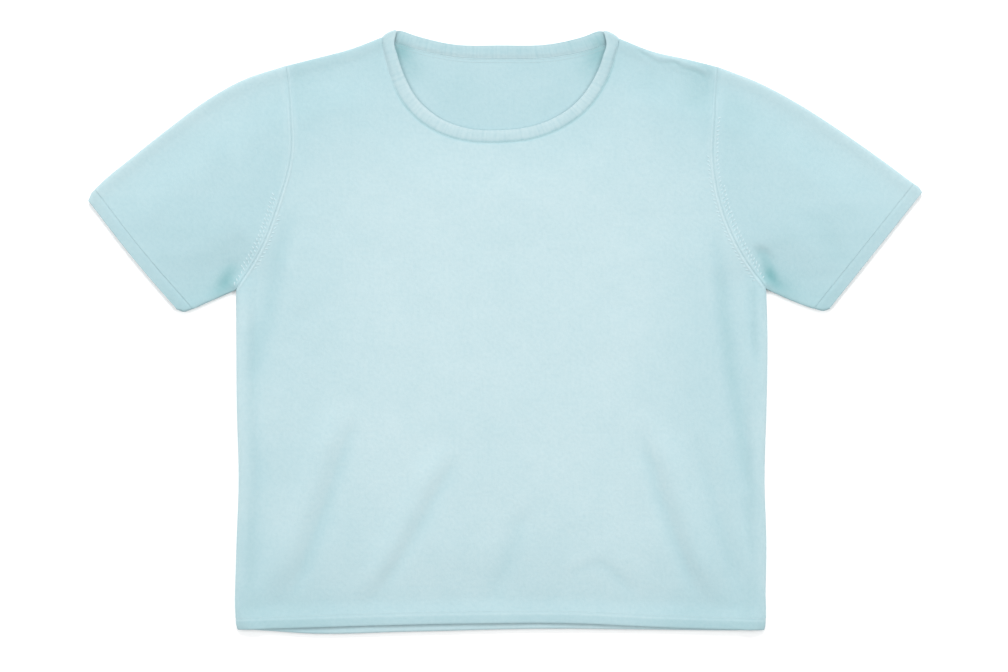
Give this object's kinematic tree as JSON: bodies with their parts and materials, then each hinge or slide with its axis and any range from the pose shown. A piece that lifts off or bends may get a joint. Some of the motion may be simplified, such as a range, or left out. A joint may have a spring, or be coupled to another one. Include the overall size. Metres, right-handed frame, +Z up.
{
  "type": "short-sleeved knitted jumper laid flat",
  "caption": "Short-sleeved fine-knit jumper laid flat: separate front and back, set-in sleeves, a double neckband round a scooped neck, and double hem and cuff bands.",
  "frame": {"origin": "middle of the laid garment's outline, on the surface that it lies on", "axes": "+X to the wearer's left (the picture's right), +Y to the neck, +Z up, out of the surface and towards the camera"},
  "size_m": [0.7879, 0.572, 0.0069],
  "materials": {
    "front": "single layer of fine plain knit, pale aqua, matt",
    "back": "single layer of fine plain knit, pale aqua, matt",
    "sleeve_right": "single layer of fine plain knit, pale aqua, matt",
    "sleeve_left": "single layer of fine plain knit, pale aqua, matt",
    "neckband": "double band of fine plain knit, linked on, pale aqua, matt",
    "hem_front": "double band of fine plain knit, linked on, pale aqua, matt",
    "hem_back": "double band of fine plain knit, linked on, pale aqua, matt",
    "cuff_right": "double band of fine plain knit, linked on, pale aqua, matt",
    "cuff_left": "double band of fine plain knit, linked on, pale aqua, matt"
  },
  "bodies": {
    "root": {"front": "front", "back": "back", "sleeve_right": "sleeve_right", "sleeve_left": "sleeve_left", "neckband": "neckband", "hem_front": "hem_front", "hem_back": "hem_back", "cuff_right": "cuff_right", "cuff_left": "cuff_left"}
  },
  "joints": []
}
